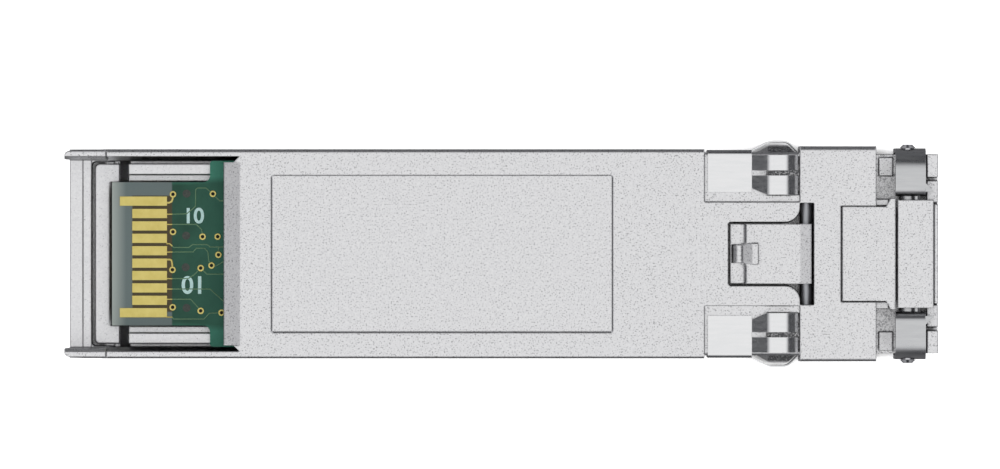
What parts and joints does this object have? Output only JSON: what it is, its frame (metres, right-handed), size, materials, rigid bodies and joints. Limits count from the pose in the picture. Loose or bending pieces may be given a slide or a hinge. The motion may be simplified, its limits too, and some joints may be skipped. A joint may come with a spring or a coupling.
{
  "type": "pluggable optical transceiver module",
  "caption": "Pluggable optical transceiver module: die-cast housing, edge-contact board, spring collar, optical ports and a swinging bail whose cams draw in the lock post.",
  "frame": {"origin": "middle of the footprint, at the crests of the cover-side spring fingers on which the module rests", "axes": "+X along the module towards the optical ports, +Z out of the latch side, +Y towards the transmitter port"},
  "size_m": [0.0562, 0.0146, 0.0094],
  "materials": {
    "cast_zinc": "bare die-cast metal with a fine grain",
    "spring_steel": "bright stamped sheet",
    "turned_steel": "smooth turned",
    "board_green": "solder mask over glass fibre",
    "contact_gold": "gold plated",
    "clamp_plastic": "moulded",
    "flex_amber": "polyimide film",
    "chip_black": "moulded package",
    "capacitor_tan": "ceramic",
    "pad_grey": "soft filled silicone"
  },
  "bodies": {
    "module": {"base_housing": "cast_zinc", "top_cover": "cast_zinc", "circuit_board": "board_green", "contact_fingers_near": "contact_gold", "contact_fingers_far": "contact_gold", "rocker_pin": "turned_steel", "rocker_spring": "spring_steel", "bail_pin": "turned_steel", "spring_collar": "spring_steel", "transmitter_can": "turned_steel", "receiver_can": "turned_steel", "transmitter_sleeve": "turned_steel", "receiver_sleeve": "turned_steel", "can_clamp": "clamp_plastic", "transmitter_flex": "flex_amber", "receiver_flex": "flex_amber", "driver_chip": "chip_black", "amplifier_chip": "chip_black", "controller_chip": "chip_black", "small_capacitors": "capacitor_tan", "thermal_pad": "pad_grey"},
    "rocker": {"latch_rocker": "cast_zinc"},
    "bail": {"bail": "spring_steel"}
  },
  "joints": [
    {"name": "bail_hinge", "type": "hinge", "parent": "module", "child": "bail", "pos_m": [0.0262, 0, 0.0075], "axis": [0, -1, 0], "range_deg": [0, 90]},
    {"name": "rocker_hinge", "type": "hinge", "parent": "module", "child": "rocker", "pos_m": [0.01965, 0, 0.00755], "axis": [0, -1, 0], "range_deg": [0, 8.5], "deforming": ["rocker_spring"]}
  ],
  "couplings": [
    {"joint": "rocker_hinge", "follows": "bail_hinge", "ratio": 0.0944}
  ]
}
